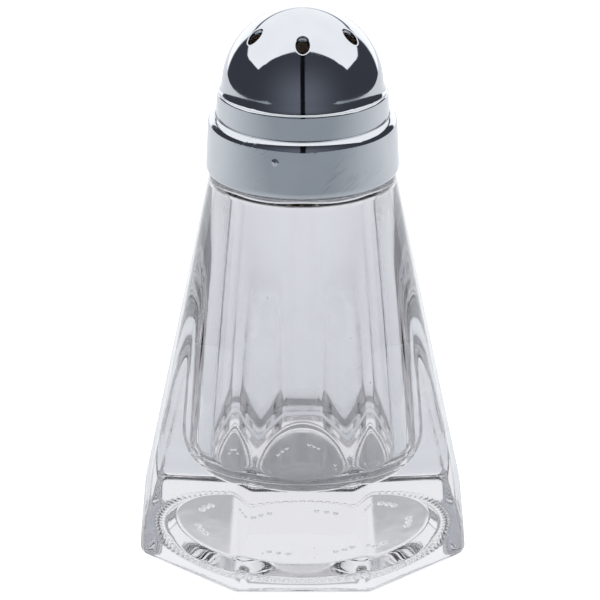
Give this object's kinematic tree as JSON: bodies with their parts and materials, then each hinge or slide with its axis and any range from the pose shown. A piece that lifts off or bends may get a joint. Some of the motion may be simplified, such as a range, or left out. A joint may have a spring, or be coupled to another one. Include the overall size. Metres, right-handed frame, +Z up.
{
  "type": "glass table shaker",
  "caption": "Clear pressed-glass table shaker, a tapered octagonal jar with a thick base and a chromed domed screw cap with pouring holes.",
  "frame": {"origin": "centre of the underside of the glass base, on the surface it stands on", "axes": "+Z up along the jar's axis; a flat of the octagon and the first pouring hole face -Y"},
  "size_m": [0.05, 0.05, 0.0852],
  "materials": {
    "clear_glass": "clear flint glass, fire-polished",
    "seal_rubber": "soft white elastomer",
    "insert_plastic": "moulded dark polypropylene",
    "collar_chrome": "bright chromium plate",
    "dome_chrome": "bright chromium plate"
  },
  "bodies": {
    "jar": {"glass_jar": "clear_glass"},
    "washer": {"seal_washer": "seal_rubber"},
    "cap": {"thread_insert": "insert_plastic", "cap_collar": "collar_chrome", "cap_dome": "dome_chrome"}
  },
  "joints": [
    {"name": "cap_lift", "type": "slide", "parent": "jar", "child": "washer", "axis": [0, 0, 1], "range_m": [0, 0.00955]},
    {"name": "cap_turn", "type": "hinge", "parent": "washer", "child": "cap", "pos_m": [0, 0, 0.07], "axis": [0, 0, 1], "range_deg": [0, 1080]}
  ],
  "couplings": [
    {"joint": "cap_lift", "follows": "cap_turn", "m_per_rad": 0.00050611}
  ]
}
